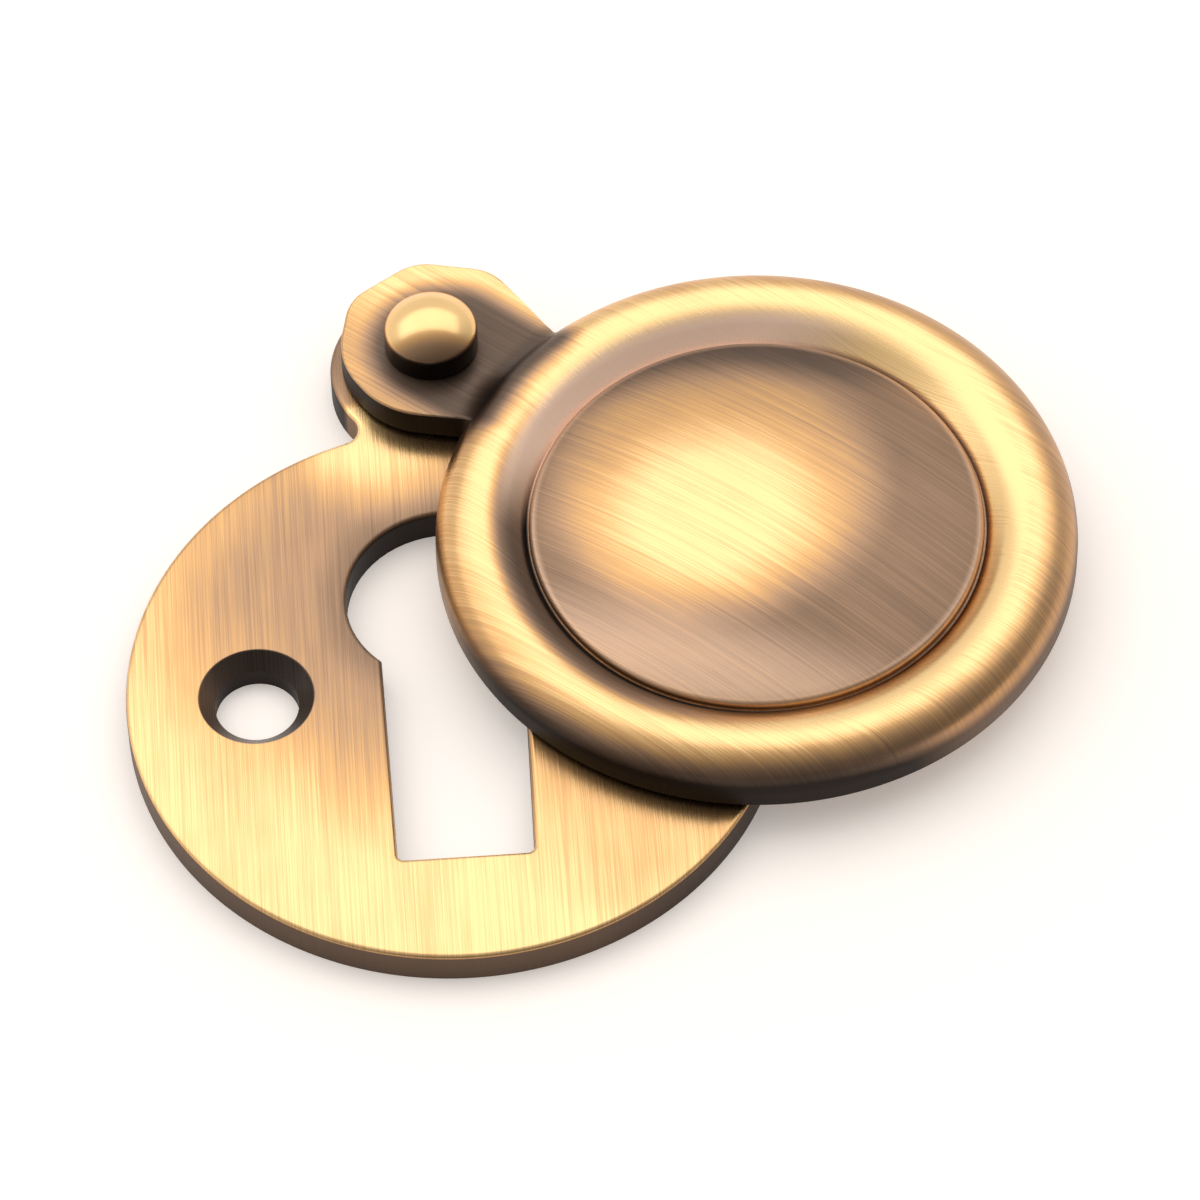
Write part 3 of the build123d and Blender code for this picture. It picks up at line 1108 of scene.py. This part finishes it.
# Upright walls darker: partly patina, partly painted shade.
PLATE_WALL = Step(0.15, 0.6, -0.7, 0.0)
SINK_BLACK = Step(2.75, 2.9, -0.5, 0.0)
PLATE_SPOTS = {
    # Browner middle, brighter rim: partly patina, partly painted shade where the light's reflection falls
    # off.
    "brown middle, bright rim": ((-1.8, 6.5), Step(5.0, 18.0, 0.5, 0.94)),
    # Painted light on the plate under the cover's ear, against the ear's shade.
    "bright under the ear": ((-3.0, 15.5), Step(1.5, 6.0, 0.38, 0.0)),
    "brown round the keyhole": (
        (0.0, KEY_ROUND_Y), Step(KEY_ROUND_RADIUS, KEY_ROUND_RADIUS + 2.2, -0.14, 0.0)
    ),
    # Painted shade beside the slot, under the cover's edge.
    "brown beside the slot": ((9.0, -8.0), Step(3.0, 8.0, -0.15, 0.0)),
    "dark ear": ((0.0, 0.0), Step(PLATE_RADIUS + 1.6, PLATE_RADIUS + 2.4, 0.0, -0.5)),
    "left countersink": ((-SCREW_X, 0.0), SINK_BLACK),
    "right countersink": ((SCREW_X, 0.0), SINK_BLACK),
}


def make_plate_brass():
    """Bright along the rim, browner beside the keyhole, dark ear and countersinks, painted light and shade.
    """
    material, tree, shader, place, marks = new_brass("plate_brushed_brass", (0, 0), 0)
    spots = [fade(tree, reach_from(tree, place, *centre), step) for centre, step in PLATE_SPOTS.values()]
    rubbed = total(tree, [*spots, fade(tree, upward(tree), PLATE_WALL)])
    finish_brass(tree, shader, marks, rubbed, PLATE_LACQUER, PLATE_RELIEF)
    return material


plate_brass = make_plate_brass()
print(plate_brass.name, "has", len(plate_brass.node_tree.nodes), "nodes")

# %% [markdown]
# ## The cover's dome and ring
#
# The cover carries most of the wear, and most of the painted light and shade. The dome is golden in the
# middle and brown towards the edge, with a painted highlight round a spot beside its middle, a thin
# painted highlight along its edge, painted light on its near edge and painted shade on its far edge. The
# ring is bright on its crest and golden on both slopes. Painted shade darkens one side of the inner slope
# and painted light brightens the other. The outer flank has painted shade, and the wall is dark, partly as
# patina and partly as painted shade, most of all on the near side. Spots can't follow a ring, so here the
# steps run along the distance from the dome's axis and towards named sides of the cover. Sides are
# directions on the cover with the ear at +Y.

# %% How far the dome is rubbed, and its painted light and shade
NEAR_LEFT = (-0.94, -0.33, 0)
FAR_SIDE = (0.77, 0.63, 0)
DOME_SPOTS = {
    "golden middle, brown edge": ((0.2, 2.6), Step(6.0, 9.4, 0.66, 0.37)),
    # Painted highlight round a spot beside the middle.
    "bright spot": ((-1.8, 1.75), Step(2.5, 7.5, 0.32, 0.0)),
}
DOME_PAINTED_SIDES = {
    # Painted light on the dome's near edge.
    "paler near edge": (NEAR_LEFT, Step(6.0, 9.5, 0.0, 0.13)),
    # Painted shade on the dome's far edge.
    "darker far edge": (FAR_SIDE, Step(6.5, 10.0, 0.0, -0.2)),
}
# A thin painted highlight along the dome's edge.
DOME_EDGE_HIGHLIGHT = Step(DOME_RADIUS - 0.35, DOME_RADIUS - 0.15, 0.0, 0.12)


def towards(tree, place, side):
    """How far a place lies from the dome's axis towards one side, in millimetres."""
    inputs = {0: place, 1: (0, -PIVOT_Y, 0)}
    from_axis = put(tree, "ShaderNodeVectorMath", inputs, operation="SUBTRACT").outputs[0]
    return along_side(tree, from_axis, side)


def dome_wear_light_and_shade(tree, place, reach):
    """Golden middle, brown edge, painted highlights on a spot and the edge, painted light near, shade far."""
    parts = [fade(tree, reach, DOME_EDGE_HIGHLIGHT)]
    for (x, y), step in DOME_SPOTS.values():
        parts.append(fade(tree, reach_from(tree, place, x, y - PIVOT_Y), step))
    for side, step in DOME_PAINTED_SIDES.values():
        parts.append(fade(tree, towards(tree, place, side), step))
    return total(tree, parts)


# The spots hold wear and a painted highlight, the sides painted light and shade.
print("the dome is rubbed in", len(DOME_SPOTS), "spots and on", len(DOME_PAINTED_SIDES), "sides")

# %% How far the ring is rubbed, and its painted light and shade
RIGHT_SIDE = (0.63, -0.77, 0)
DARK_SIDE = (-0.9, 0.43, 0)
RING_SLOPE = Step(RING_MIDDLE - 1.8, RING_MIDDLE - 0.4, 0.74, 0.98)
RING_INSIDE = Step(RING_MIDDLE - 1.2, RING_MIDDLE - 0.3, 1.0, 0.0)
RING_OUTSIDE = Step(RING_MIDDLE - 0.1, RING_MIDDLE + 1.2)
RING_OFF_CREST = Step(RING_MIDDLE, RING_MIDDLE + 0.5)
# Painted shade on the dark side of the inner slope, painted light on the other side.
INSIDE_LIGHT_AND_SHADE = Step(2.0, 12.0, 0.28, -0.5)
# Painted shade down the outer flank, deeper on the right side; it narrows the crest's highlight.
OUTSIDE_SHADE = Step(-12.0, 12.0, -0.16, -0.36)
RING_NEAR = Step(8.0, 14.5)
# The wall is darker: partly patina, partly painted shade.
RING_WALL = Step(0.05, 0.5, -0.35, 0.0)
# Painted shade on the wall's near side.
RING_NEAR_WALL = Step(0.4, 0.9, -0.58, 0.0)


def ring_wear_light_and_shade(tree, place, reach, look_up):
    """Bright crest, golden slopes, painted light and shade inside, painted shade outside and on the dark
    wall.
    """
    inside = fade(tree, reach, RING_INSIDE)
    inside_light_and_shade = sum_of(tree, "MULTIPLY", inside, fade(tree, towards(tree, place, DARK_SIDE), INSIDE_LIGHT_AND_SHADE))
    outside = fade(tree, reach, RING_OUTSIDE)
    flank = fade(tree, towards(tree, place, RIGHT_SIDE), OUTSIDE_SHADE)
    outside_shade = sum_of(tree, "MULTIPLY", outside, flank)
    near_side = fade(tree, towards(tree, place, NEAR_LEFT), RING_NEAR)
    near_wall = sum_of(tree, "MULTIPLY", near_side, fade(tree, look_up, RING_NEAR_WALL))
    walls = total(tree, [fade(tree, look_up, RING_WALL), near_wall])
    wall_shade = sum_of(tree, "MULTIPLY", fade(tree, reach, RING_OFF_CREST), walls)
    return total(tree, [fade(tree, reach, RING_SLOPE), inside_light_and_shade, outside_shade, wall_shade])


print("the ring is brightest", round(RING_SLOPE.end, 2), "mm from the dome's axis")

# %% [markdown]
# ## The cover's ear and the painted sheen
#
# A dark halo lies round the rivet, where nothing could rub, and runs on into the ring. So it is round on
# the outer side only: towards the ring its distance is measured across the ear alone. Only the ear's outer
# rim is bright, and painted shade makes its wall black. A painted sheen, a pale rosy painted reflection,
# lies on the dome's near edge, along its rim, and on the ring's inner slope behind the dome.

# %% How far the ear is rubbed, and its painted shade
HALO_CENTRE = (0.35, -0.6)
HALO_EDGE = Step(3.0, 4.7)
HALO_DARK = 0.21
EAR_RIM_BRIGHT = Step(-2.0, 2.5, 0.48, 0.72)
# Painted shade: the ear's wall is black.
EAR_WALL = Step(0.2, 0.6, -0.8, 0.0)


def ear_wear_and_shade(tree, place, look_up):
    """Dark halo round the rivet running on into the ring, bright outer rim, wall black with painted shade."""
    parts = split(tree, place)
    across = sum_of(tree, "SUBTRACT", parts["X"], HALO_CENTRE[0])
    outward = sum_of(tree, "MAXIMUM", sum_of(tree, "SUBTRACT", parts["Y"], HALO_CENTRE[1]), 0.0)
    rim = fade(tree, length_of(tree, across, outward), HALO_EDGE)
    top = sum_of(tree, "MULTIPLY_ADD", rim, fade(tree, parts["X"], EAR_RIM_BRIGHT), HALO_DARK)
    return total(tree, [top, fade(tree, look_up, EAR_WALL)])


print("the halo round the rivet ends at", HALO_EDGE.end, "mm")

# %% Where the painted sheen lies
# Where the painted sheen, a pale reflection, lies on the dome and on the ring's slope.
SHEEN_SIDE = (0.4, 0.92, 0)
SHEEN_NEAR = Step(5.5, 9.5, 0.0, 0.3)
SHEEN_RIM = Step(DOME_RADIUS - 0.5, DOME_RADIUS - 0.2, 0.0, 0.24)
SHEEN_DOME = Step(DOME_RADIUS - 0.05, DOME_RADIUS, 1.0, 0.0)
SHEEN_SLOPE = Step(RING_MIDDLE - 1.6, RING_MIDDLE - 0.8, 1.0, 0.0)
SHEEN_BEHIND = Step(5.5, 10.2)


def painted_sheen_mask(tree, place, reach):
    """How thick the painted sheen lies: at the dome's near edge, along its rim and on the slope behind it."""
    painted_near_edge = fade(tree, towards(tree, place, NEAR_LEFT), SHEEN_NEAR)
    on_dome = fade(tree, reach, SHEEN_DOME)
    edges = sum_of(tree, "MAXIMUM", painted_near_edge, fade(tree, reach, SHEEN_RIM))
    behind = fade(tree, towards(tree, place, SHEEN_SIDE), SHEEN_BEHIND)
    on_slope = sum_of(tree, "MULTIPLY", fade(tree, reach, SHEEN_SLOPE), behind)
    return blend(tree, on_dome, on_slope, sum_of(tree, "MULTIPLY", on_dome, edges))


print("the veil on the slope ends", round(SHEEN_SLOPE.end, 2), "mm from the dome's axis")

# %% [markdown]
# ## Brushed brass for the cover
#
# Dome, ring and ear each have their own number for how far they are rubbed, with their painted light and
# shade in it. Two soft steps choose between them, so no hard line shows where they meet, and a black line
# goes into the groove, where polish and dirt collect. The brush marks are turned with the cover, because
# it was brushed before it was swung aside.

# %% Brushed brass for the cover
COVER_RELIEF = 0.2
COVER_LACQUER = 0.15
ON_RING = Step(DOME_RADIUS, DOME_RADIUS + 0.12)
GROOVE_BLACK = Step(DOME_RADIUS + 0.1, DOME_RADIUS + 0.45, -0.7, 0.0)
NEAR_RIVET = Step(6.5, 8.5, 1.0, 0.0)
PAST_CREST = Step(RING_MIDDLE - 0.8, RING_MIDDLE + 1.0)


def make_cover_brass():
    """Rubbed bright on dome and ring, black in the groove and round the rivet; painted light, shade and
    sheen.
    """
    material, tree, shader, place, marks = new_brass("cover_brushed_brass", (0, PIVOT_Y), COVER_SWING)
    look_up = upward(tree)
    reach = reach_from(tree, place, 0, -PIVOT_Y)
    on_ring = fade(tree, reach, ON_RING)
    body = blend(tree, on_ring, dome_wear_light_and_shade(tree, place, reach), ring_wear_light_and_shade(tree, place, reach, look_up))
    groove = sum_of(tree, "MULTIPLY", on_ring, fade(tree, reach, GROOVE_BLACK))
    near_rivet = fade(tree, reach_from(tree, place, 0, 0), NEAR_RIVET)
    on_ear = sum_of(tree, "MULTIPLY", near_rivet, fade(tree, reach, PAST_CREST))
    rubbed = blend(tree, on_ear, total(tree, [body, groove]), ear_wear_and_shade(tree, place, look_up))
    # A painted sheen, a pale reflection, over the brass.
    sheen = painted_sheen_mask(tree, place, reach)
    finish_brass(tree, shader, marks, rubbed, COVER_LACQUER, COVER_RELIEF, sheen=sheen)
    return material


cover_brass = make_cover_brass()
print(cover_brass.name, "has", len(cover_brass.node_tree.nodes), "nodes")

# %% [markdown]
# ## Polished brass for the rivet
#
# The rivet was polished after it was set, so its head is the cleanest gold, smoother than the rest and
# without brush marks. Its wall is dark, partly as patina and partly as painted shade, and painted shade
# darkens its near edge. It uses the same aged brass, with the scratches and streaks held at their middle,
# where they change nothing, and with no bump.

# %% Polished brass for the rivet
RIVET_LACQUER = 0.03
RIVET_DULLNESS = 0.8
# Polished head; its wall is dark, partly patina and partly painted shade.
HEAD_POLISH_AND_SHADE = Step(0.1, 0.6, 0.2, 0.95)
# Painted shade on the head's near edge.
HEAD_NEAR_SHADE = Step(-1.8, -0.7, -0.42, 0.0)
NO_MARKS = {"Scratches": 0.5, "Streaks": 0.5}


def make_rivet_brass():
    """Polished gold on the head's dome; black wall, partly painted shade; painted shade at its near edge."""
    material, tree, shader, place, marks = new_brass("rivet_polished_brass", (0, PIVOT_Y), 0)
    painted_near_edge = fade(tree, split(tree, place)["Y"], HEAD_NEAR_SHADE)
    rubbed = total(tree, [fade(tree, upward(tree), HEAD_POLISH_AND_SHADE), painted_near_edge])
    finish_brass(tree, shader, {**marks, **NO_MARKS}, rubbed, RIVET_LACQUER, dullness=RIVET_DULLNESS)
    return material


rivet_brass = make_rivet_brass()
for piece, material in ((plate, plate_brass), (cover, cover_brass), (rivet, rivet_brass)):
    piece.data.materials.clear()
    piece.data.materials.append(material)
    print(piece.name, "gets", material.name)

# %% [markdown]
# ## The pieces join the frame
#
# Each piece takes the place of its solid in the imported model and rides on the body that the solid belongs
# to. The plate and the rivet stay still together, and the cover swings.

# %% Ride and replace
for piece, node, body, slot in (
    (plate, "back_plate", "plate", "plate_brass"),
    (cover, "swing_cover", "cover", "cover_brass"),
    (rivet, "pivot_rivet", "plate", "rivet_brass"),
):
    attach(piece, body)
    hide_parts(node)
    print(piece.name, "replaces", node, "and rides on", body)

# %% [markdown]
# ## The paper floor
#
# The photo is a plain studio picture on white. A pale floor takes the soft shadow. More light would make
# it white, but would bleach the brass too. So the paper glows a little to the camera and in reflections,
# and puts no more light on the metal.

# %% The floor
FLOOR_SIZE = 6
FLOOR_DROP = 0.01
PAPER_COLOUR = (0.94, 0.86, 0.79, 1)
PAPER_ROUGHNESS = 0.9
GLOW_COLOUR = (1, 0.94, 0.89, 1)
PAPER_GLOW = 0.27


def make_paper():
    """White paper that keeps the shadow, with a glow for the camera and for reflections."""
    material = bpy.data.materials.new("white_paper")
    material.use_nodes = True
    tree = material.node_tree
    shader = tree.nodes["Principled BSDF"]
    shader.inputs["Base Color"].default_value = PAPER_COLOUR
    shader.inputs["Roughness"].default_value = PAPER_ROUGHNESS
    shader.inputs["Specular IOR Level"].default_value = 0.0
    shader.inputs["Emission Color"].default_value = GLOW_COLOUR
    path = put(tree, "ShaderNodeLightPath").outputs
    seen = sum_of(tree, "MAXIMUM", path["Is Camera Ray"], path["Is Glossy Ray"])
    tree.links.new(sum_of(tree, "MULTIPLY", seen, PAPER_GLOW), shader.inputs["Emission Strength"])
    return material


bpy.ops.object.select_all(action="DESELECT")
bpy.ops.mesh.primitive_plane_add(size=FLOOR_SIZE)
floor = bpy.context.object
floor.name = "paper_floor"
bpy.ops.object.mode_set(mode="EDIT")
bpy.ops.mesh.select_all(action="SELECT")
bpy.ops.transform.translate(value=(0, 0, -FLOOR_DROP * MM))
bpy.ops.object.mode_set(mode="OBJECT")
floor.data.materials.append(make_paper())
print("floor laid at", round(floor.data.vertices[0].co.z / MM, 3), "mm")

# %% [markdown]
# ## The room and the panel
#
# Metal shows what is round it, so a small lamp would give it small hot spots. The light is one large soft
# panel above and behind, whose reflection makes the long highlights on the ring and the dome. The room is
# dim in front and lighter behind, and that gives the walls on the near side their dark tone.

# %% The room and the panel
PANEL_PLACE = Vector((-0.15, 0.4, 0.6))
PANEL_TARGET = Vector((-0.15, 0.4, 0.0))
PANEL_WIDTH = 1.9
PANEL_DEPTH = 0.76
PANEL_BRIGHTNESS = 0.75
BRIGHT_SIDE = (-0.22, 0.82, 0.35)
ROOM_LIGHT = Step(-0.7, 0.7, 0.2, 1.0)


def make_panel():
    """A soft panel that faces a point. Its power follows from the brightness of its face."""
    lamp = bpy.data.lights.new("panel_above", "AREA")
    lamp.shape = "RECTANGLE"
    lamp.size = PANEL_WIDTH
    lamp.size_y = PANEL_DEPTH
    lamp.energy = PANEL_BRIGHTNESS * pi * PANEL_WIDTH * PANEL_DEPTH
    panel = bpy.data.objects.new("panel_above", lamp)
    bpy.context.scene.collection.objects.link(panel)
    panel.location = PANEL_PLACE
    panel.rotation_euler = (PANEL_TARGET - PANEL_PLACE).to_track_quat("-Z", "Y").to_euler()
    return panel


def make_room():
    """A room that is lighter on one side: brightness follows how far a direction points to that side."""
    room = bpy.data.worlds.new("studio room")
    room.use_nodes = True
    tree = room.node_tree
    direction = put(tree, "ShaderNodeTexCoord").outputs["Generated"]
    background = tree.nodes["Background"].inputs
    background["Color"].default_value = (1, 1, 1, 1)
    tree.links.new(fade(tree, along_side(tree, direction, BRIGHT_SIDE), ROOM_LIGHT), background["Strength"])
    return room


bpy.context.scene.world = make_room()
print("panel gives", round(make_panel().data.energy, 2), "W")

# %% [markdown]
# ## The camera
#
# The photo's viewing angle was worked out from the plate: its round rim shows as an ellipse, and the
# ellipse's shape and tilt give the camera's height and roll. A long lens from some way off keeps the near
# and the far side almost the same size, as product photos do.

# %% The camera
LOOK_AT = Vector((7.4706, 5.842, 0)) * MM
CAMERA_AZIMUTH = radians(-2.770)
CAMERA_ELEVATION = radians(53.395)
CAMERA_ROLL = radians(-1.385)
CAMERA_DISTANCE = 353.22 * MM
SENSOR_WIDTH = 36
PHOTO_PIXELS = 1200
FOCAL_PIXELS = 7154.9
NEAREST_SEEN = 10 * MM


def make_camera():
    """A camera that looks at a point from an azimuth and an elevation, with a little roll."""
    lens = bpy.data.cameras.new("photo camera")
    lens.sensor_width = SENSOR_WIDTH
    lens.lens = SENSOR_WIDTH * FOCAL_PIXELS / PHOTO_PIXELS
    lens.clip_start = NEAREST_SEEN
    camera = bpy.data.objects.new("photo camera", lens)
    bpy.context.scene.collection.objects.link(camera)
    level = cos(CAMERA_ELEVATION)
    back = Vector((sin(CAMERA_AZIMUTH) * level, -cos(CAMERA_AZIMUTH) * level, sin(CAMERA_ELEVATION)))
    camera.location = LOOK_AT + back * CAMERA_DISTANCE
    camera.rotation_euler = (pi / 2 - CAMERA_ELEVATION, 0, CAMERA_AZIMUTH)
    camera.rotation_euler.rotate_axis("Z", CAMERA_ROLL)
    return camera


camera = make_camera()
bpy.context.scene.camera = camera
bpy.context.scene.view_settings.view_transform = "Standard"
print("camera at", [round(v / MM, 1) for v in camera.location], "mm, lens", round(camera.data.lens, 1))
